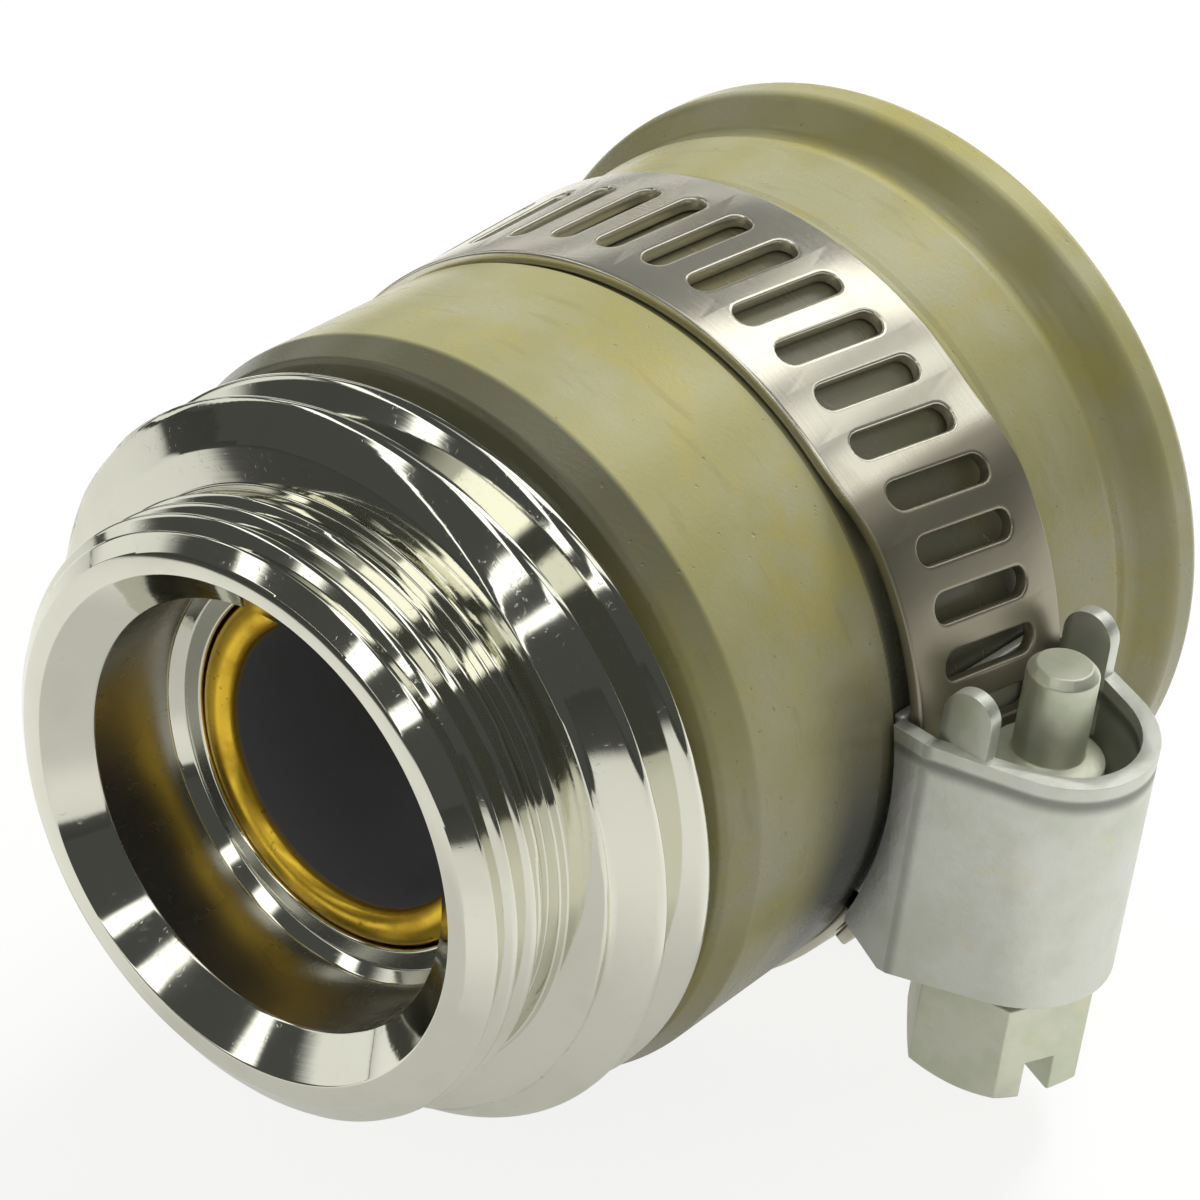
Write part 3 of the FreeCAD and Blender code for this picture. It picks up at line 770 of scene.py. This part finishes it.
@dataclass
class ThreadedNose:
    """Chromed nose: open mouth, fine thread, neck, shoulder, coarse hose thread and hidden barb."""

    fine: ThreadSizes = field(default_factory=lambda: ThreadSizes(
        pitch=0.941, crest_y=0.25, start_y=0.0, end_y=3.1, root=10.33, crest=10.91,
        root_flat=0.118, crest_flat=0.153, in_radius=9.97, in_length=0.72,
        out_radius=10.25, out_length=0.1, per_turn=20))
    coarse: ThreadSizes = field(default_factory=lambda: ThreadSizes(
        pitch=2.209, crest_y=2.98, start_y=4.45, end_y=8.9, root=12.05, crest=13.49,
        root_flat=0.275, crest_flat=0.272, in_radius=12.0, in_length=0.55,
        out_radius=12.05, out_length=0.1, per_turn=28))
    neck: tuple[Point, ...] = (
        (10.25, 3.1), (10.25, 3.75), (10.75, 3.75), (10.75, 4.15), (11.94, 4.4356), (12.0, 4.45),
    )
    rear: tuple[Point, ...] = (
        (12.05, 8.9), (8.6, 8.9), (8.6, 14.0), (9.2, 14.0), (8.6, 15.3), (8.6, 16.4), (6.02, 16.4),
        (6.02, 6.45), (6.72, 6.45), (6.72, 5.25), (7.45, 5.25), (7.86, 4.85), (7.86, 1.28),
        (9.24, 0.0), (9.97, 0.0),
    )

    def build(self, rule: RuleTree) -> bpy.types.Object:
        """Return the nose as one closed shell."""
        neck = lathe(rounded(list(self.neck), {}, False, 0.07), False)
        rear = lathe(rounded(list(self.rear), {}, False, 0.12), False)
        parts = [rule.run(self.fine.inputs()), rule.run(self.coarse.inputs()), neck, rear]
        return dressed("chrome_nose", joined(parts), ChromeFinish(), Body.ADAPTER, ["threaded_nose"])


@dataclass
class BrassFerrule:
    """Brass ferrule through the nose, with the rounded lip that shows as a gold ring."""

    bore: float = 5.3
    outer: float = 5.97
    lip: float = 6.66
    front_y: float = 5.08
    shoulder_y: float = 5.6
    back_y: float = 6.4
    collar: float = 8.3
    collar_y: float = 16.5
    end_y: float = 17.3
    arc_steps: int = 10

    def build(self) -> bpy.types.Object:
        """Return the ferrule as one closed shell."""
        middle, half = (self.bore + self.lip) / 2, (self.lip - self.bore) / 2
        crown = []
        for step in range(self.arc_steps + 1):
            turn = math.pi * step / self.arc_steps
            height = (self.shoulder_y - self.front_y) * math.sin(turn)
            crown.append((middle - half * math.cos(turn), self.shoulder_y - height))
        tail = [
            (self.lip, self.back_y), (self.outer, self.back_y), (self.outer, self.collar_y),
            (self.collar, self.collar_y), (self.collar, self.end_y), (self.bore, self.end_y),
        ]
        outline = crown + rounded([crown[-1], *tail, crown[0]], {}, False, 0.12)[1:-1]
        shell = joined([lathe(outline, True)])
        return dressed("ferrule_ring", shell, BrassFinish(), Body.ADAPTER, ["brass_ferrule"])


@dataclass
class RubberSleeve:
    """Moulded rubber sleeve: front bush, seat of the clamp, rear groove and flanged mouth."""

    outline: tuple[Point, ...] = (
        (8.66, 8.94), (13.2, 8.94), (13.42, 9.12), (13.86, 10.3), (13.86, 17.8), (13.57, 18.0),
        (14.02, 27.0), (14.08, 27.3), (14.4, 30.9), (14.15, 31.7), (14.35, 32.2), (15.45, 33.1),
        (15.45, 34.5), (14.95, 35.0), (10.3, 35.0), (9.5, 34.2), (9.5, 17.4), (8.66, 16.5),
        (8.66, 15.4), (9.26, 15.4), (9.26, 13.9), (8.66, 13.9),
    )

    def build(self) -> bpy.types.Object:
        """Return the sleeve as one closed shell."""
        radii = {
            1: 0.2, 2: 0.25, 3: 0.5, 7: 0.5, 8: 0.8, 9: 0.7, 10: 0.5, 11: 0.7, 12: 0.5, 13: 0.5, 14: 0.6, 15: 0.6,
        }
        shell = joined([lathe(rounded(list(self.outline), radii, True, 0.12), True)])
        return dressed("sleeve_rubber", shell, RubberFinish(), Body.ADAPTER, ["rubber_sleeve"])


def strip_rule() -> RuleTree:
    """Build the tree that repeats one cell of strip and bends the row round the sleeve.

    The cell lies flat: X along the strip, Y across it, Z through it, in millimetres.
    """
    rule = RuleTree("strip_rule", takes_mesh=True)
    tree = rule.tree
    count = rule.number("Count", whole=True)
    cell, first, step = rule.number("Cell length"), rule.number("First angle"), rule.number("Step angle")
    middle, radius = rule.number("Strip Y"), rule.number("Inner radius")
    lift, ramp, lap = rule.number("Lap lift"), rule.number("Ramp angle"), rule.number("Lap angle")
    cone = rule.number("Cone")
    row = {"Count": count, "Offset": tree.vector(cell, 0.0, 0.0)}
    line = tree.node("GeometryNodeMeshLine", {"mode": "OFFSET"}, row)
    spread = tree.node(
        "GeometryNodeInstanceOnPoints",
        inputs={"Points": line.outputs[0], "Instance": rule.start.outputs["Mesh"]},
    )
    real = tree.node("GeometryNodeRealizeInstances", inputs={0: spread.outputs[0]})
    u, v, w = tree.split(tree.node("GeometryNodeInputPosition").outputs[0])
    angle = first + u / cell * step
    rise = ((angle - ramp) / (lap - ramp)).eased()
    level = radius + lift * rise + cone * v + w
    turn = angle * (math.pi / 180.0)
    place = tree.vector(level * turn.sine() * MM, (middle + v) * MM, level * turn.cosine() * MM)
    moved = tree.node("GeometryNodeSetPosition", inputs={"Geometry": real.outputs[0], "Position": place})
    rule.finish(moved.outputs[0])
    return rule


@dataclass
class StripCell:
    """One flat cell of strip, plain or with a slanted slot, as an open-ended tube of faces."""

    length: float = 2.05
    width: float = 7.94
    thick: float = 0.5
    edge: float = 0.12
    slot_length: float = 4.95
    slot_width: float = 1.05
    slant: float = 8.0
    lip: float = 0.07
    across: int = 12
    along: int = 8

    def border(self, height: float) -> list[Vector]:
        """Return the rectangle of the cell's flat face as a loop of points."""
        x, y = self.length / 2, self.width / 2 - self.edge
        points = [Vector((x, -y + 2 * y * n / self.across, height)) for n in range(self.across)]
        points += [Vector((x - 2 * x * n / self.along, y, height)) for n in range(self.along)]
        points += [Vector((-x, y - 2 * y * n / self.across, height)) for n in range(self.across)]
        points += [Vector((-x + 2 * x * n / self.along, -y, height)) for n in range(self.along)]
        return points

    def slot(self, grow: float, height: float) -> list[Vector]:
        """Return the slot's outline, grown by a margin, matched to the border's points."""
        radius = self.slot_width / 2 + grow
        reach = self.slot_length / 2 - self.slot_width / 2
        points = [Vector((radius, -reach + 2 * reach * n / self.across, 0)) for n in range(self.across)]
        for n in range(self.along):
            turn = math.pi * n / self.along
            points.append(Vector((radius * math.cos(turn), reach + radius * math.sin(turn), 0)))
        points += [-point for point in points]
        lean = Matrix.Rotation(-math.radians(self.slant), 3, "Z")
        return [lean @ point + Vector((0, 0, height)) for point in points]

    def side(self) -> list[Point]:
        """Return the rounded edge of the strip as distance from the middle and height."""
        half, points = self.width / 2, []
        for low in (False, True):
            for n in range(5):
                turn = math.radians(90 - 22.5 * n) if not low else math.radians(-22.5 * n)
                y = half - self.edge + self.edge * math.cos(turn)
                z = (self.edge if low else self.thick - self.edge) + self.edge * math.sin(turn)
                points.append((y, z))
        return points

    def mesh(self, slotted: bool) -> bpy.types.Mesh:
        """Return the cell.

        Args:
            slotted: True for the cell with a slot.

        Returns:
            The flat mesh in millimetres.
        """
        made = bmesh.new()

        def bridge(first: list[Vector], second: list[Vector], closed: bool) -> None:
            """Join two rows of points with quads."""
            one = [made.verts.new(point) for point in first]
            two = [made.verts.new(point) for point in second]
            for n in range(len(one) if closed else len(one) - 1):
                m = (n + 1) % len(one)
                made.faces.new((one[n], one[m], two[m], two[n]))

        thick, lip = self.thick, self.lip
        if slotted:
            rings = [
                self.border(thick), self.slot(lip * 2.2, thick), self.slot(lip, thick),
                self.slot(lip * 0.3, thick - lip * 0.3), self.slot(0, thick - lip), self.slot(0, lip),
                self.slot(lip * 0.3, lip * 0.3), self.slot(lip, 0), self.slot(lip * 2.2, 0), self.border(0),
            ]
            for first, second in zip(rings, rings[1:]):
                bridge(first, second, True)
        else:
            x, y = self.length / 2, self.width / 2 - self.edge
            for height in (thick, 0.0):
                for n in range(self.across):
                    low = -y + 2 * y * n / self.across
                    high = -y + 2 * y * (n + 1) / self.across
                    places = [x - 2 * x * m / self.along for m in range(self.along + 1)]
                    bridge(
                        [Vector((place, low, height)) for place in places],
                        [Vector((place, high, height)) for place in places],
                        False,
                    )
        x = self.length / 2
        places = [x - 2 * x * m / self.along for m in range(self.along + 1)]
        rows = self.side()
        for sign in (1, -1):
            for (y0, z0), (y1, z1) in zip(rows, rows[1:]):
                bridge(
                    [Vector((place, sign * y0, z0)) for place in places],
                    [Vector((place, sign * y1, z1)) for place in places],
                    False,
                )
        bmesh.ops.remove_doubles(made, verts=made.verts, dist=1e-5)
        bmesh.ops.recalc_face_normals(made, faces=made.faces)
        mesh = bpy.data.meshes.new("cell")
        made.to_mesh(mesh)
        made.free()
        return mesh


@dataclass
class ClampBand:
    """Slotted stainless strip in one loop whose tail laps over its plain start."""

    strip_y: float = 22.2
    inner: float = 13.85
    lift: float = 0.55
    cone: float = 0.2
    step: float = 8.18182
    clock: float = 48.0
    ramp: float = 45.0
    lap: float = 62.0
    start: float = -238.5
    tail: float = 127.0
    first_slot: int = -12
    last_slot: int = 9

    def build(self, rule: RuleTree) -> bpy.types.Object:
        """Return the band as one closed shell."""
        cell = StripCell()
        slotted_start = self.clock + (self.first_slot - 0.5) * self.step
        slotted_count = self.last_slot - self.first_slot + 1
        slotted_end = slotted_start + slotted_count * self.step
        shared = {
            "Cell length": cell.length, "Strip Y": self.strip_y, "Inner radius": self.inner,
            "Lap lift": self.lift, "Ramp angle": self.ramp, "Lap angle": self.lap,
            "Cone": self.cone / (cell.width / 2),
        }
        plain_count = round((slotted_start - self.start) / self.step)
        plain_step = (slotted_start - self.start) / plain_count
        runs = [
            (False, plain_count, self.start, plain_step),
            (True, slotted_count, slotted_start, self.step),
            (False, 1, slotted_end, self.tail - slotted_end),
        ]
        parts = []
        for slotted, count, first, step in runs:
            sizes = {"Count": count, "First angle": first + step / 2, "Step angle": step}
            parts.append(rule.run(sizes | shared, cell.mesh(slotted)))
        return dressed("band_strip", joined(parts), StripFinish(), Body.BAND, ["clamp_band"])


def softened(node: str, width: float, segments: int = 3, limit: float = 32.0) -> bpy.types.Mesh:
    """Copy a CAD node's mesh, weld it and round its edges.

    Args:
        node: Name of the node.
        width: Width of the rounding in millimetres.
        segments: Steps of the rounding.
        limit: Edges sharper than this angle are rounded, in degrees.

    Returns:
        The new mesh.
    """
    shell = bmesh.new()
    shell.from_mesh(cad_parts[node].data)
    bmesh.ops.remove_doubles(shell, verts=shell.verts, dist=WELD)
    bmesh.ops.dissolve_limit(shell, angle_limit=math.radians(0.4), verts=shell.verts, edges=shell.edges)
    made = bpy.data.meshes.new("softened")
    shell.to_mesh(made)
    shell.free()
    holder = show("softened", made)
    bevel = holder.modifiers.new("edges", "BEVEL")
    bevel.width = width * MM
    bevel.segments = segments
    bevel.limit_method = "ANGLE"
    bevel.angle_limit = math.radians(limit)
    bevel.use_clamp_overlap = True
    bevel.harden_normals = False
    result = settled(holder)
    for polygon in result.polygons:
        polygon.use_smooth = True
    result.set_sharp_from_angle(angle=math.radians(40))
    return result


@dataclass
class ClampSaddle:
    """Curved plate between the sleeve and the strip, under the housing."""

    rounding: float = 0.12

    def build(self) -> bpy.types.Object:
        """Return the saddle."""
        finish = ZincFinish(name="zinc_saddle", seed=7.0)
        mesh = softened("clamp_saddle", self.rounding)
        return dressed("saddle_plate", mesh, finish, Body.CLAMP, ["clamp_saddle"])


@dataclass
class ClampHousing:
    """Pressed cover over the worm."""

    rounding: float = 0.2

    def build(self) -> bpy.types.Object:
        """Return the housing."""
        mesh = softened("clamp_housing", self.rounding)
        return dressed("housing_cover", mesh, ZincFinish(folded=True), Body.CLAMP, ["clamp_housing"])


@dataclass
class ClampScrew:
    """Worm screw with a slotted hexagon head and a plain tip."""

    rounding: float = 0.13

    def build(self) -> bpy.types.Object:
        """Return the screw."""
        finish = ZincFinish(
            name="zinc_worm", slot=Slot.SCREW, light=(0.76, 0.76, 0.63), green=(0.62, 0.67, 0.50), seed=3.0,
        )
        mesh = softened("clamp_screw", self.rounding)
        return dressed("worm_screw", mesh, finish, Body.SCREW, ["clamp_screw"])


@dataclass
class Studio:
    """White table, key lamp, the room that metal reflects, and the camera."""

    azimuth: float = 39.114
    elevation: float = 28.794
    distance: float = 141.773
    target: tuple[float, float, float] = (1.3119, 17.3833, 1.8587)
    lens: float = 120.0
    sensor: float = 36.0
    table_z: float = -15.47
    table_size: float = 2000.0
    key_place: tuple[float, float, float] = (-22.0, 228.0, 165.0)
    key_size: float = 90.0
    key_power: float = 0.72

    def camera(self) -> None:
        """Add the camera at the photograph's place."""
        turn, rise = math.radians(self.azimuth), math.radians(self.elevation)
        back = Vector((math.sin(turn) * math.cos(rise), -math.cos(turn) * math.cos(rise), math.sin(rise)))
        data = bpy.data.cameras.new("camera")
        data.lens = self.lens
        data.sensor_width = self.sensor
        data.clip_start = 0.005
        data.clip_end = 20.0
        made = bpy.data.objects.new("camera", data)
        bpy.context.scene.collection.objects.link(made)
        made.location = (Vector(self.target) + back * self.distance) * MM
        made.rotation_mode = "QUATERNION"
        made.rotation_quaternion = (-back).to_track_quat("-Z", "Y")
        bpy.context.scene.camera = made

    def table(self) -> None:
        """Add the white table top under the part. What metal mirrors of it is dark far in front of the part."""
        half, height = self.table_size * MM / 2, self.table_z * MM
        mesh = bpy.data.meshes.new("table")
        corners = [(-half, -half, height), (half, -half, height), (half, half, height), (-half, half, height)]
        mesh.from_pydata(corners, [], [(0, 1, 2, 3)])
        material = bpy.data.materials.new("white_table")
        material.use_nodes = True
        material.node_tree.nodes.clear()
        tree = Tree(material.node_tree)
        rays = tree.node("ShaderNodeLightPath").outputs
        colour = tree.blend(rays["Is Camera Ray"], (0.40, 0.40, 0.39), (0.96, 0.96, 0.96))
        _, y, _ = tree.split(tree.node("ShaderNodeNewGeometry").outputs["Position"])
        near = y.step(-0.115, -0.080)
        mirrored = tree.blend(near, (0.10, 0.10, 0.10), (0.95, 0.95, 0.93))
        colour = tree.blend(rays["Is Glossy Ray"], colour, mirrored)
        diffuse = tree.node("ShaderNodeBsdfDiffuse", inputs={"Color": colour})
        glow = tree.node("ShaderNodeEmission", inputs={"Color": (1.0, 1.0, 0.985, 1.0), "Strength": 1.0})
        share = tree.amount(rays["Is Camera Ray"]) * 0.86 + tree.amount(rays["Is Glossy Ray"]) * near * 0.42
        mixed = tree.node("ShaderNodeMixShader", inputs={0: share, 1: diffuse.outputs[0], 2: glow.outputs[0]})
        tree.node("ShaderNodeOutputMaterial", inputs={"Surface": mixed.outputs[0]})
        mesh.materials.append(material)
        floor = show("table_top", mesh)

    def room(self) -> None:
        """Build the world: white to the eye, soft grey light, and a room for metal to reflect.

        Metal mirrors the grey room and its bright bands, not the white background.
        """
        world = bpy.data.worlds.new("room")
        world.use_nodes = True
        world.node_tree.nodes.clear()
        bpy.context.scene.world = world
        tree = Tree(world.node_tree)
        rays = tree.node("ShaderNodeLightPath").outputs
        seen = tree.amount(rays["Is Camera Ray"]).most(tree.amount(rays["Is Transmission Ray"]))
        glossy = tree.amount(rays["Is Glossy Ray"])
        x, y, z = tree.split(tree.node("ShaderNodeTexCoord").outputs["Generated"])
        round_y = x.angle(z)

        def strip(first: float, last: float, soft: float = 1.5) -> Amount:
            """Return 1 between two angles about the Y axis and 0 outside them."""
            return round_y.window((first - soft, first + soft), (last - soft, last + soft))

        behind, before = y.step(0.05, 0.2), 1.0 - y.step(-0.2, -0.05)
        rear = strip(-6.0, 18.0).most(strip(27.0, 39.0) * 0.7).most(strip(-56.0, -51.0) * 0.7)
        rear = rear.most(strip(-82.0, -66.0, 4.0) * 0.35)
        front = strip(-1.0, 14.0).most(strip(35.0, 45.0)).most(strip(-49.0, -41.0))
        front = front.most(strip(-95.0, -56.0, 4.0) * y.step(-0.5, -0.4) * 0.5)
        level = (rear * behind).most(front * before).most(z.step(0.93, 0.99) * 0.4)
        room = tree.blend(level, (0.072, 0.075, 0.072), (1.8, 1.8, 1.76))
        share = 0.5 + z * 0.22 + y * 0.32 + x * 0.12
        soft = tree.blend(share.held(), (0.05, 0.05, 0.052), (0.78, 0.78, 0.76))
        colour = tree.blend(glossy, soft, room)
        colour = tree.blend(seen, colour, (1.0, 1.0, 1.0))
        light = tree.node("ShaderNodeBackground", inputs={"Color": colour, "Strength": 1.0})
        tree.node("ShaderNodeOutputWorld", inputs={"Surface": light.outputs[0]})

    def key_lamp(self) -> None:
        """Add the square key lamp, which faces the part and shows in no reflection."""
        data = bpy.data.lights.new("key_lamp", "AREA")
        data.shape = "SQUARE"
        data.size = self.key_size * MM
        data.energy = self.key_power
        made = bpy.data.objects.new("key_lamp", data)
        bpy.context.scene.collection.objects.link(made)
        made.location = Vector(self.key_place) * MM
        made.rotation_mode = "QUATERNION"
        made.rotation_quaternion = (Vector(self.target) * MM - made.location).to_track_quat("-Z", "Y")
        made.visible_glossy = False

    def build(self) -> None:
        """Set the stage."""
        self.camera()
        self.table()
        self.room()
        self.key_lamp()
        bpy.context.scene.view_settings.view_transform = "Standard"
        log.info("studio: camera, table, room and lamp")


def main() -> None:
    """Build the studio, then each part of the adapter and of its clamp."""
    logging.basicConfig(level=logging.INFO, format="%(name)s %(message)s")
    Studio().build()
    thread = thread_rule()
    ThreadedNose().build(thread)
    BrassFerrule().build()
    RubberSleeve().build()
    ClampBand().build(strip_rule())
    ClampSaddle().build()
    ClampHousing().build()
    ClampScrew().build()


if __name__ == "__main__":
    main()
